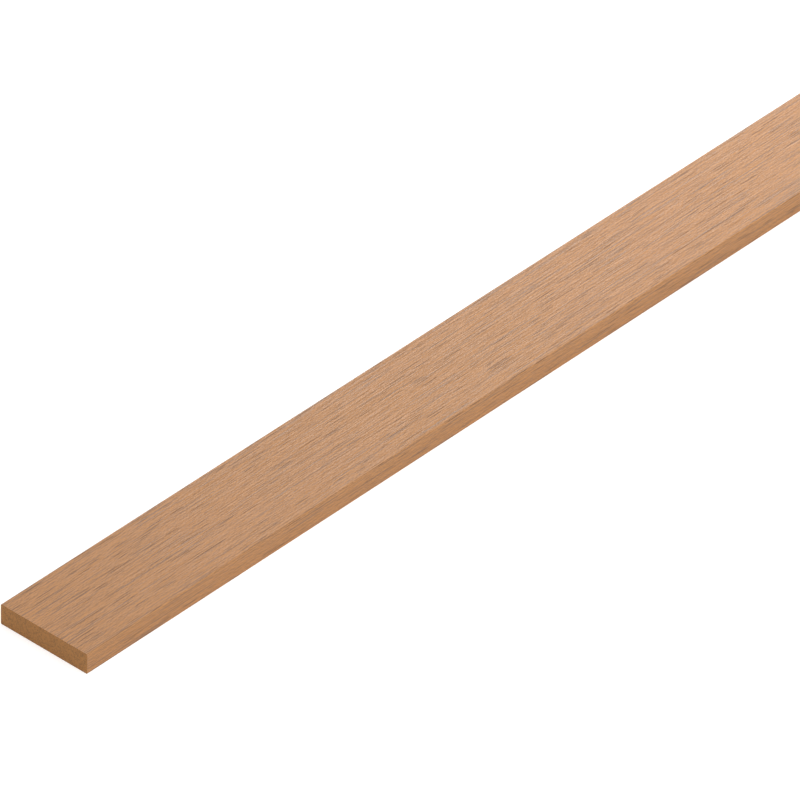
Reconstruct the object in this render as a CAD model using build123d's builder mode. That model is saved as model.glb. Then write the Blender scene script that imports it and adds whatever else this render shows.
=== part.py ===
"""Flat trim strip, extruded in one piece from solid wood-plastic composite.

The section is a plain rectangle whose four long edges are eased, and both ends are sawn square.
The strip lies on its back. X runs along it, Y across its width and Z out of the face that shows.
The origin is the middle of the back.
"""

import os

from build123d import *

# Driving dimensions, in millimetres
LENGTH = 2000.0  # stock length between the sawn ends
WIDTH = 48.0  # across the face that shows
THICKNESS = 10.0  # from the back to the face that shows
EDGE_RADIUS = 0.4  # easing that the die leaves along the four long edges

# The section is drawn at one sawn end and extruded to the other
sawn_end = Plane.YZ.offset(-LENGTH / 2)

with BuildPart() as trim_strip:
    with BuildSketch(sawn_end) as section:
        Rectangle(WIDTH, THICKNESS, align=(Align.CENTER, Align.MIN))
        fillet(section.vertices(), radius=EDGE_RADIUS)
    extrude(amount=LENGTH)

trim_strip.part.label = "trim_strip"

os.makedirs("parts", exist_ok=True)
export_step(trim_strip.part, "parts/trim_strip.step")
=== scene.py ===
"""Looks of a flat trim strip of solid wood-plastic composite, lying on its back.

The strip is one closed mesh with a shallow real relief. Its long faces wear the grained skin, and its
two ends wear the sawn composite. All sizes are metres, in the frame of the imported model: X runs along
the strip, Y across its width and Z out of the face that shows.
"""

import math
from collections import namedtuple

import bpy
from mathutils import Matrix, Vector, noise


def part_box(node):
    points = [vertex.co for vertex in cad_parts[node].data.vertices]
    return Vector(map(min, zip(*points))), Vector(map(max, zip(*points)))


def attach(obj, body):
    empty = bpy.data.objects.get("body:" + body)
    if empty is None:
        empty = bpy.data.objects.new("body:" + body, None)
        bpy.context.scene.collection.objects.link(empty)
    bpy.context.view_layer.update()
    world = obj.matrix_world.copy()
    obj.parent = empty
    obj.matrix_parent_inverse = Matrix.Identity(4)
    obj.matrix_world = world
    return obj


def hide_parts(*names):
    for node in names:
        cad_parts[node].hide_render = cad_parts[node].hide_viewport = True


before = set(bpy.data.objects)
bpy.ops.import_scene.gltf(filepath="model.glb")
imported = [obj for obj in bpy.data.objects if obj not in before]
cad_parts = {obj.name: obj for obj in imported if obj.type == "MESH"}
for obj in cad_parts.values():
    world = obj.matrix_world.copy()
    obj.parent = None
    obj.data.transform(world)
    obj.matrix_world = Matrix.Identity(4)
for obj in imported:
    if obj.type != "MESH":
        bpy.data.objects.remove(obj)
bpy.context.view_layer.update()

MM = 0.001

# The strip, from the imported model
STRIP_LOW, STRIP_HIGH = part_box("trim_strip")
LENGTH, WIDTH, THICKNESS = STRIP_HIGH - STRIP_LOW
EDGE_RADIUS = 0.4 * MM  # easing along the four long edges, as the model has it

# How finely the strip is divided
STATIONS = 360  # along the length, an even number
WIDE_STEPS = 80  # across the face and the back
THIN_STEPS = 16  # across each long side
EDGE_STEPS = 3  # round each eased edge
SHARP_ANGLE = 50  # degrees: a sharper fold than this is shaded as an edge
GRAINED, SAWN = 0, 1  # the mesh's two materials, in their order

# Real relief, which only goes into the solid: shallow grooves on the long faces, saw marks on the ends
GROOVE_DEPTH = 0.015 * MM
GROOVE_LENGTH = 26 * MM
GROOVE_WIDTH = 2.2 * MM
GROOVE_FADE = 2.0 * MM  # the grooves run out towards the eased edges and the ends
LONG_GROOVES, SHORT_GROOVES = 0.6, 0.3  # the parts that long and short grooves have in the depth
SHORTER = 2.1  # how many times smaller the short grooves are
LONG_SHIFT = Vector((5.0, 9.0, 2.0))  # keeps the noise of the long grooves apart from the short ones'
SHORT_SHIFT = Vector((31.0, 4.0, 17.0))
SAW_DEPTH = 0.03 * MM
SAW_SIZE = 1.6 * MM

# Map for a baked copy, as shares of a square image: each half of the length is a band, the ends lie above
MAP_MARGIN = 0.008
MAP_BAND = 0.460
FAR_END_LEFT = 0.5  # where the far end begins; the near end begins at the margin

# The grain is drawn in layers, each made of strands. A layer has the length and width of its features, a
# shift that keeps its noise unlike the other layers', and the part that it has where layers are blended
Layer = namedtuple("Layer", "length width shift part", defaults=(1.0,))
STRAND = 0.45 * MM
SPECKS = Layer(1.5 * MM, STRAND, 29.7, 0.28)
FIBRES = Layer(5 * MM, STRAND, 3.1, 0.28)
THREADS = Layer(18 * MM, STRAND, 43.3, 0.26)
STREAKS = Layer(120 * MM, STRAND, 7.7, 0.18)
PORES = Layer(16 * MM, 0.38 * MM, 5.3)
LINES = Layer(45 * MM, 0.40 * MM, 23.5)
DUST = Layer(1.5 * MM, STRAND, 37.1, 0.32)
BRUSH_MARKS = Layer(14 * MM, STRAND, 11.3, 0.38)
RUB_MARKS = Layer(90 * MM, STRAND, 13.9, 0.30)

# Colours of the composite, as linear light
DARK_TAN = (0.306, 0.156, 0.073)
BRIGHT_TAN = (0.497, 0.234, 0.086)
PORE_BROWN = (0.200, 0.103, 0.051)
LINE_GREY = (0.245, 0.135, 0.075)
SAWN_TAN = (0.502, 0.239, 0.086)
SAWN_BROWN = (0.250, 0.138, 0.069)

# The grained skin
TAN_RANGE = (0.33, 0.60)  # of the strands' lightness, from the dark tan to the bright one
PORE_RANGE = (0.67, 0.85)  # of the pores' layer, from no pore to a full one
LINE_RANGE = (0.65, 0.81)  # of the lines' layer, from no line to a full one
SHEEN_RANGE = (0.28, 0.57)  # of the marks in the sheen, from the glossiest to the dullest
SKIN_ROUGHNESS = (0.385, 0.660)  # at those two ends
BRIGHT_GLOSS = 0.15  # how far a bright strand lowers the marks in the sheen
PORE_DULLNESS, LINE_GLOSS = 0.08, 0.06  # how far a pore raises the roughness and a line lowers it
GRAIN_DEPTH = 0.03 * MM  # of the finest grain, which the material draws
PORE_SINK = 0.2  # how far the pores lie below the strands, as a part of that depth
SKIN_IOR = 1.45
SKIN_SPECULAR = 0.36

# The sawn ends are drawn with two speckles: the size of their marks along and across the strip, a shift
# that keeps the two unlike each other, and how much finer detail the noise has
Speckle = namedtuple("Speckle", "length width shift detail roughness")
SHIFT_WAY = (1.0, 1.7, 2.3)
FLECKS = Speckle(3 * MM, 0.7 * MM, 41.7, 3.0, 0.75)
CLOUDS = Speckle(20 * MM, 4 * MM, 47.1, 1.0, 0.5)
FLECK_RANGE = (0.58, 0.30)  # of the flecks' noise, from no fleck to the darkest
FLECK_TINT = (0.0, 0.9)  # the share of brown at those two ends
CLOUD_RANGE = (0.35, 0.65)  # the same for the clouds
CLOUD_TINT = (0.0, 0.06)
FLECK_DEPTH = 0.05 * MM
SAWN_ROUGHNESS = 0.85
SAWN_IOR = 1.40
SAWN_SPECULAR = 0.15

# Camera of the photograph
SENSOR = 36.0  # millimetres, as the lens
LENS = 534.5  # so the view is nearly parallel
AIM = Vector((-0.7878, 0.0, THICKNESS))  # the middle of the picture, on the strip's face
AZIMUTH, ELEVATION, ROLL = -48.29, 36.75, -1.10  # degrees
DISTANCE = 4.896  # from there to the camera
NEAREST, FARTHEST = 0.1, 200.0  # between which the camera sees

# Studio. A softbox has the place of its middle, its length along the strip, its height and its power in
# watts. It is turned towards the point of the strip that has its own X
WHITE = (1.0, 1.0, 1.0, 1.0)
SKY_LIGHT = 0.56  # the sky's strength as light, where 1 is how it is seen
FLOOR_GREY = 0.85
FLOOR_HALF = 60.0  # from its middle to each side
FLOOR_LIFT = (0.50, 0.53)  # brings the floor up to white where it is seen, near the strip and far from it
LIFT_REACH = (1.0, 2.2)  # the distances between which the lift grows, as the lamps' light runs out
Softbox = namedtuple("Softbox", "x y z length height power")
FRONT_SOFTBOX = Softbox(x=-0.60, y=-0.68, z=0.73, length=2.2, height=0.4, power=7.7)
REAR_SOFTBOX = Softbox(x=0.45, y=0.52, z=0.44, length=1.8, height=0.25, power=10.4)


class Tree:
    """A material's nodes, with one short call for each kind that is used here."""

    MIX_A, MIX_B, MIX_RESULT = 6, 7, 2  # a Mix node's sockets for colours

    def __init__(self, name):
        self.material = bpy.data.materials.new(name)
        self.material.use_nodes = True
        self.nodes = self.material.node_tree.nodes
        self.links = self.material.node_tree.links
        self.shader = self.nodes["Principled BSDF"]

    def feed(self, socket, value):
        """Links a socket to another one, or sets it to a number or a colour."""
        if isinstance(value, bpy.types.NodeSocket):
            self.links.new(value, socket)
        elif isinstance(value, tuple) and len(value) == 3 and socket.type == "RGBA":
            socket.default_value = (*value, 1.0)
        else:
            socket.default_value = value

    def maths(self, operation, a, b=0.0, c=0.0):
        node = self.nodes.new("ShaderNodeMath")
        node.operation = operation
        for socket, value in zip(node.inputs, (a, b, c)):
            self.feed(socket, value)
        return node.outputs[0]

    def mix(self, share, a, b):
        node = self.nodes.new("ShaderNodeMix")
        node.data_type = "RGBA"
        self.feed(node.inputs["Factor"], share)
        self.feed(node.inputs[self.MIX_A], a)
        self.feed(node.inputs[self.MIX_B], b)
        return node.outputs[self.MIX_RESULT]

    def ramp(self, value, low, high, to_low=0.0, to_high=1.0):
        """Eases value from low and high to new limits, and holds it there outside them."""
        node = self.nodes.new("ShaderNodeMapRange")
        node.interpolation_type = "SMOOTHSTEP"
        for socket, number in zip(node.inputs, (value, low, high, to_low, to_high)):
            self.feed(socket, number)
        return node.outputs["Result"]

    def place(self):
        return self.nodes.new("ShaderNodeTexCoord").outputs["Object"]

    def length(self, vector):
        node = self.nodes.new("ShaderNodeVectorMath")
        node.operation = "LENGTH"
        self.feed(node.inputs[0], vector)
        return node.outputs["Value"]

    def attribute(self, name):
        node = self.nodes.new("ShaderNodeAttribute")
        node.attribute_name = name
        return node.outputs["Fac"]

    def noise(self, place, detail=0.0, roughness=0.5):
        node = self.nodes.new("ShaderNodeTexNoise")
        self.feed(node.inputs["Vector"], place)
        node.inputs["Scale"].default_value = 1.0
        node.inputs["Detail"].default_value = detail
        node.inputs["Roughness"].default_value = roughness
        return node.outputs["Fac"]

    def flat_noise(self, x, y):
        node = self.nodes.new("ShaderNodeCombineXYZ")
        self.feed(node.inputs["X"], x)
        self.feed(node.inputs["Y"], y)
        return self.noise(node.outputs["Vector"])

    def speckled(self, place, speckle):
        """Noise with marks of a speckle's size."""
        node = self.nodes.new("ShaderNodeMapping")
        self.feed(node.inputs["Vector"], place)
        node.inputs["Location"].default_value = [speckle.shift * way for way in SHIFT_WAY]
        node.inputs["Scale"].default_value = (1 / speckle.length, 1 / speckle.width, 1 / speckle.width)
        return self.noise(node.outputs["Vector"], speckle.detail, speckle.roughness)

    def blend(self, *parts):
        """Values added up, each given with its part."""
        total = 0.0
        for value, part in parts:
            total = self.maths("MULTIPLY_ADD", value, part, total)
        return total

    def bump(self, height, depth):
        node = self.nodes.new("ShaderNodeBump")
        node.inputs["Strength"].default_value = 1.0
        node.inputs["Distance"].default_value = depth
        self.feed(node.inputs["Height"], height)
        return node.outputs["Normal"]


class Strands:
    """Straight strands lying side by side round the strip. Every layer of the grain is drawn with them."""

    SPREAD = (400.0, 150.0)  # how far apart in the noise two strands may lie
    CONTRAST = 0.65  # how much of the strand beside is taken off each one

    def __init__(self, tree):
        self.tree = tree
        self.along = tree.nodes.new("ShaderNodeSeparateXYZ")
        tree.feed(self.along.inputs[0], tree.place())
        self.around = tree.attribute("girth")

    def run(self, along, row, shift):
        """The values along one strand, from a line of the noise that is drawn at random for each row."""
        tree = self.tree
        node = tree.nodes.new("ShaderNodeTexWhiteNoise")
        node.noise_dimensions = "1D"
        tree.feed(node.inputs["W"], row)
        drawn = node.outputs["Value"]
        x = tree.maths("MULTIPLY_ADD", drawn, self.SPREAD[0], along)
        return tree.flat_noise(x, tree.maths("MULTIPLY_ADD", drawn, self.SPREAD[1], shift))

    def drawn(self, layer):
        """A layer's values, about 0.5, each less a part of what the strand beside has there."""
        tree = self.tree
        row = tree.maths("FLOOR", tree.maths("DIVIDE", self.around, layer.width))
        along = tree.maths("MULTIPLY_ADD", self.along.outputs["X"], 1 / layer.length, layer.shift)
        beside = self.run(along, tree.maths("SUBTRACT", row, 1.0), layer.shift)
        own = tree.maths("ADD", self.run(along, row, layer.shift), self.CONTRAST / 2)
        return tree.maths("MULTIPLY_ADD", beside, -self.CONTRAST, own)

    def parts(self, *layers):
        return [(self.drawn(layer), layer.part) for layer in layers]


def grained_skin():
    """The long faces: thin tan strands, with short dark pores and a few long grey lines."""
    tree = Tree("composite_grained")
    strands = Strands(tree)
    light = tree.blend(*strands.parts(SPECKS, FIBRES, THREADS, STREAKS))
    tone = tree.mix(tree.ramp(light, *TAN_RANGE), DARK_TAN, BRIGHT_TAN)
    pores = tree.ramp(strands.drawn(PORES), *PORE_RANGE)
    tone = tree.mix(pores, tone, PORE_BROWN)
    lines = tree.ramp(strands.drawn(LINES), *LINE_RANGE)
    tone = tree.mix(lines, tone, LINE_GREY)
    tree.feed(tree.shader.inputs["Base Color"], tone)

    marks = tree.blend(*strands.parts(DUST, BRUSH_MARKS, RUB_MARKS), (light, -BRIGHT_GLOSS))
    sheen = tree.ramp(marks, *SHEEN_RANGE, *SKIN_ROUGHNESS)
    roughness = tree.blend((sheen, 1.0), (pores, PORE_DULLNESS), (lines, -LINE_GLOSS))
    tree.feed(tree.shader.inputs["Roughness"], roughness)
    tree.shader.inputs["IOR"].default_value = SKIN_IOR
    tree.shader.inputs["Specular IOR Level"].default_value = SKIN_SPECULAR

    height = tree.blend((light, 1.0), (pores, -PORE_SINK))
    tree.feed(tree.shader.inputs["Normal"], tree.bump(height, GRAIN_DEPTH))
    return tree.material


def sawn_composite():
    """The two ends: the same composite cut across, with a fine dark fleck and hardly any sheen."""
    tree = Tree("composite_sawn")
    place = tree.place()
    flecks = tree.speckled(place, FLECKS)
    clouds = tree.speckled(place, CLOUDS)
    tone = tree.mix(tree.ramp(flecks, *FLECK_RANGE, *FLECK_TINT), SAWN_TAN, SAWN_BROWN)
    tone = tree.mix(tree.ramp(clouds, *CLOUD_RANGE, *CLOUD_TINT), tone, SAWN_BROWN)
    tree.feed(tree.shader.inputs["Base Color"], tone)
    tree.feed(tree.shader.inputs["Normal"], tree.bump(flecks, FLECK_DEPTH))
    tree.shader.inputs["Roughness"].default_value = SAWN_ROUGHNESS
    tree.shader.inputs["IOR"].default_value = SAWN_IOR
    tree.shader.inputs["Specular IOR Level"].default_value = SAWN_SPECULAR
    return tree.material


# A point of the section's outline: its place, the way out of the solid and how far the nearest edge is
RingPoint = namedtuple("RingPoint", "y z out from_edge")


def outward(degrees):
    """The way out of the solid at this turn round the section, from the rear side over the face."""
    turn = math.radians(degrees)
    return Vector((0, math.cos(turn), math.sin(turn)))


def section_ring():
    """The section's outline, once round from the rear of the face, as four flats and four eased edges."""
    half, top = WIDTH / 2, THICKNESS
    corners = [  # centre of each eased edge, the turn at which it begins and the flat that follows it
        ((half - EDGE_RADIUS, top - EDGE_RADIUS), 0, WIDTH, WIDE_STEPS),
        ((-half + EDGE_RADIUS, top - EDGE_RADIUS), 90, THICKNESS, THIN_STEPS),
        ((-half + EDGE_RADIUS, EDGE_RADIUS), 180, WIDTH, WIDE_STEPS),
        ((half - EDGE_RADIUS, EDGE_RADIUS), 270, THICKNESS, THIN_STEPS),
    ]
    ring = []
    for (y, z), begins, side, steps in corners:
        for k in range(EDGE_STEPS):
            out = outward(begins + 90 * k / EDGE_STEPS)
            ring.append(RingPoint(y + EDGE_RADIUS * out.y, z + EDGE_RADIUS * out.z, out, 0.0))
        out = outward(begins + 90)
        along = Vector((0, -out.z, out.y))
        flat = side - 2 * EDGE_RADIUS
        for k in range(steps):
            gone = flat * k / steps
            at = Vector((0, y, z)) + out * EDGE_RADIUS + along * gone
            ring.append(RingPoint(at.y, at.z, out, min(gone, flat - gone)))
    return ring


def girths(ring):
    """How far round the section each point lies from the first one, and the whole way round."""
    gone = [0.0]
    for p, after in zip(ring, ring[1:] + ring[:1]):
        gone.append(gone[-1] + math.hypot(after.y - p.y, after.z - p.z))
    return gone


def held(value):
    """The value, held between 0 and 1."""
    return min(max(value, 0.0), 1.0)


def fade(distance):
    """0 at an edge, rising smoothly to 1 where the relief is whole."""
    share = held(distance / GROOVE_FADE)
    return share * share * (3 - 2 * share)


def groove(x, y, z):
    """How deep the grain lies here, from 0 to 1: long shallow grooves, with shorter ones in them."""
    at = Vector((x / GROOVE_LENGTH, y / GROOVE_WIDTH, z / GROOVE_WIDTH))
    long = noise.noise(at + LONG_SHIFT)
    short = noise.noise(at * SHORTER + SHORT_SHIFT)
    return held(0.5 + LONG_GROOVES * long + SHORT_GROOVES * short)


def saw_mark(y, z):
    """How deep the saw went here, from 0 to 1."""
    return held(0.5 + noise.noise(Vector((y / SAW_SIZE, z / SAW_SIZE, 0.0))))


class Shell:
    """The strip's points and faces, with each face's material and its corners' girths and map places."""

    def __init__(self):
        self.points, self.faces, self.materials, self.girth, self.map = [], [], [], [], []

    def point(self, place):
        """Adds a point and returns its number."""
        self.points.append(place)
        return len(self.points) - 1

    def face(self, corners, material, girth, spots):
        self.faces.append(corners)
        self.materials.append(material)
        self.girth += girth
        self.map += spots

    def mesh(self, name):
        mesh = bpy.data.meshes.new(name)
        mesh.from_pydata(self.points, [], self.faces)
        mesh.materials.append(grained_skin())
        mesh.materials.append(sawn_composite())
        mesh.polygons.foreach_set("material_index", self.materials)
        mesh.attributes.new("girth", "FLOAT", "CORNER").data.foreach_set("value", self.girth)
        layer = mesh.uv_layers.new(name="OFBake", do_init=False)
        layer.uv.foreach_set("vector", [number for spot in self.map for number in spot])
        mesh.shade_smooth()
        mesh.set_sharp_from_angle(angle=math.radians(SHARP_ANGLE))
        return mesh


def add_stations(shell, ring):
    """The points of the long faces and eased edges. Returns the point numbers of each station."""
    stations = []
    for i in range(STATIONS + 1):
        x = STRIP_LOW.x + LENGTH * i / STATIONS
        from_end = min(x - STRIP_LOW.x, STRIP_HIGH.x - x)
        station = []
        for p in ring:
            depth = GROOVE_DEPTH * groove(x, p.y, p.z) * fade(p.from_edge) * fade(from_end)
            station.append(shell.point(Vector((x, p.y, p.z)) - p.out * depth))
        stations.append(station)
    return stations


def add_skin(shell, ring, stations):
    """The faces between the stations. On the map each half of the length has a band of its own."""
    gone = girths(ring)
    count, half = len(ring), STATIONS // 2
    for i in range(STATIONS):
        band, step = divmod(i, half)
        low = MAP_MARGIN + band * (MAP_BAND + MAP_MARGIN)
        u = [MAP_MARGIN + (1 - 2 * MAP_MARGIN) * (step + k) / half for k in (0, 1)]
        for k in range(count):
            v = [low + MAP_BAND * g / gone[-1] for g in gone[k:k + 2]]
            after = (k + 1) % count
            corners = (stations[i][k], stations[i][after], stations[i + 1][after], stations[i + 1][k])
            girth = (gone[k], gone[k + 1], gone[k + 1], gone[k])
            spots = ((u[0], v[0]), (u[0], v[1]), (u[1], v[1]), (u[1], v[0]))
            shell.face(corners, GRAINED, girth, spots)


def add_end(shell, ring, station, x, inward, left):
    """One sawn end: a grid inside the flats, a strip along each flat and a fan in each corner.

    inward is the way into the solid along X, 1 or -1, and left is where the end begins on the map.
    """
    scale = MAP_BAND / girths(ring)[-1]
    low = 2 * (MAP_MARGIN + MAP_BAND) + MAP_MARGIN

    def spot(number):
        at = shell.points[number]
        return left + (at.y - STRIP_LOW.y) * scale, low + (at.z - STRIP_LOW.z) * scale

    def face(*corners):
        """Adds a face, with its corners in the order that makes it look out of the solid."""
        corners = corners if inward < 0 else corners[::-1]
        shell.face(corners, SAWN, (0.0,) * len(corners), tuple(spot(c) for c in corners))

    grid = {}
    for j in range(WIDE_STEPS + 1):
        y = STRIP_HIGH.y - EDGE_RADIUS - (WIDTH - 2 * EDGE_RADIUS) * j / WIDE_STEPS
        for k in range(THIN_STEPS + 1):
            z = STRIP_HIGH.z - EDGE_RADIUS - (THICKNESS - 2 * EDGE_RADIUS) * k / THIN_STEPS
            grid[j, k] = shell.point(Vector((x + inward * SAW_DEPTH * saw_mark(y, z), y, z)))
    for j in range(WIDE_STEPS):
        for k in range(THIN_STEPS):
            face(grid[j, k], grid[j + 1, k], grid[j + 1, k + 1], grid[j, k + 1])

    # The grid's rim in the ring's order, one run for each flat, from where its eased edge ends
    runs = [
        [grid[j, 0] for j in range(WIDE_STEPS + 1)],
        [grid[WIDE_STEPS, k] for k in range(THIN_STEPS + 1)],
        [grid[j, THIN_STEPS] for j in reversed(range(WIDE_STEPS + 1))],
        [grid[0, k] for k in reversed(range(THIN_STEPS + 1))],
    ]
    at = 0
    for run in runs:
        for k in range(EDGE_STEPS):
            face(station[at + k], station[at + k + 1], run[0])
        at += EDGE_STEPS
        for k in range(len(run) - 1):
            after = station[(at + k + 1) % len(station)]
            face(station[at + k], after, run[k + 1], run[k])
        at += len(run) - 1


def strip_mesh():
    """The whole strip as one closed mesh."""
    shell = Shell()
    ring = section_ring()
    stations = add_stations(shell, ring)
    add_skin(shell, ring, stations)
    add_end(shell, ring, stations[0], STRIP_LOW.x, 1, MAP_MARGIN)
    add_end(shell, ring, stations[-1], STRIP_HIGH.x, -1, FAR_END_LEFT)
    return shell.mesh("trim_strip_shell")


def make_strip():
    strip = bpy.data.objects.new("trim_strip_looks", strip_mesh())
    bpy.context.collection.objects.link(strip)
    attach(strip, "root")
    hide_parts("trim_strip")


def shown(nodes, links):
    """1 for what the camera sees, also in a reflection or through glass, and 0 for what only lights."""
    path = nodes.new("ShaderNodeLightPath")
    seen = path.outputs["Is Camera Ray"]
    for ray in ("Is Glossy Ray", "Is Transmission Ray"):
        either = nodes.new("ShaderNodeMath")
        either.operation = "MAXIMUM"
        links.new(seen, either.inputs[0])
        links.new(path.outputs[ray], either.inputs[1])
        seen = either.outputs[0]
    return seen


def floor_white():
    """Pale grey as it lights the strip, and lifted to white where it is seen."""
    tree = Tree("floor_white")
    tree.feed(tree.shader.inputs["Base Color"], (FLOOR_GREY, FLOOR_GREY, FLOOR_GREY))
    tree.shader.inputs["Roughness"].default_value = 1.0
    tree.shader.inputs["Specular IOR Level"].default_value = 0.0
    tree.shader.inputs["Emission Color"].default_value = WHITE
    lift = tree.ramp(tree.length(tree.place()), *LIFT_REACH, *FLOOR_LIFT)
    lift = tree.maths("MULTIPLY", shown(tree.nodes, tree.links), lift)
    tree.feed(tree.shader.inputs["Emission Strength"], lift)
    return tree.material


def make_floor():
    """A plain pale floor, which keeps a soft shadow of the strip."""
    corners = [(-FLOOR_HALF, -FLOOR_HALF, 0), (FLOOR_HALF, -FLOOR_HALF, 0),
               (FLOOR_HALF, FLOOR_HALF, 0), (-FLOOR_HALF, FLOOR_HALF, 0)]
    mesh = bpy.data.meshes.new("floor")
    mesh.from_pydata(corners, [], [(0, 1, 2, 3)])
    mesh.materials.append(floor_white())
    floor = bpy.data.objects.new("floor", mesh)
    bpy.context.collection.objects.link(floor)


def make_sky():
    """An even white surround: white where it is seen, softer as light."""
    world = bpy.data.worlds.new("studio")
    bpy.context.scene.world = world
    world.use_nodes = True
    nodes, links = world.node_tree.nodes, world.node_tree.links
    back = nodes["Background"]
    back.inputs["Color"].default_value = WHITE
    strength = nodes.new("ShaderNodeMapRange")
    links.new(shown(nodes, links), strength.inputs["Value"])
    strength.inputs["To Min"].default_value = SKY_LIGHT
    strength.inputs["To Max"].default_value = 1.0
    links.new(strength.outputs["Result"], back.inputs["Strength"])


def make_lamp(name, softbox):
    """A soft rectangular lamp, long along the strip, which the camera doesn't see."""
    data = bpy.data.lights.new(name, "AREA")
    data.shape = "RECTANGLE"
    data.size, data.size_y = softbox.length, softbox.height
    data.energy = softbox.power
    lamp = bpy.data.objects.new(name, data)
    bpy.context.collection.objects.link(lamp)
    place = Vector((softbox.x, softbox.y, softbox.z))
    down = (Vector((softbox.x, 0, 0)) - place).normalized()
    along = Vector((1, 0, 0))
    side = (-down).cross(along)
    turn = Matrix((along, side, -down)).transposed()
    lamp.matrix_world = Matrix.Translation(place) @ turn.to_4x4()
    lamp.visible_camera = False


def make_camera():
    data = bpy.data.cameras.new("photo_camera")
    data.sensor_width, data.lens = SENSOR, LENS
    data.clip_start, data.clip_end = NEAREST, FARTHEST
    camera = bpy.data.objects.new("photo_camera", data)
    bpy.context.collection.objects.link(camera)
    azimuth, elevation = math.radians(AZIMUTH), math.radians(ELEVATION)
    back = Vector((math.sin(azimuth) * math.cos(elevation), -math.cos(azimuth) * math.cos(elevation),
                   math.sin(elevation)))
    level = (-back).to_track_quat("-Z", "Y").to_matrix().to_4x4()
    tilt = Matrix.Rotation(math.radians(-ROLL), 4, "Z")
    camera.matrix_world = Matrix.Translation(AIM + back * DISTANCE) @ level @ tilt
    bpy.context.scene.camera = camera


bpy.context.scene.view_settings.view_transform = "Standard"
make_camera()
make_sky()
make_floor()
make_lamp("front_softbox", FRONT_SOFTBOX)
make_lamp("rear_softbox", REAR_SOFTBOX)
make_strip()
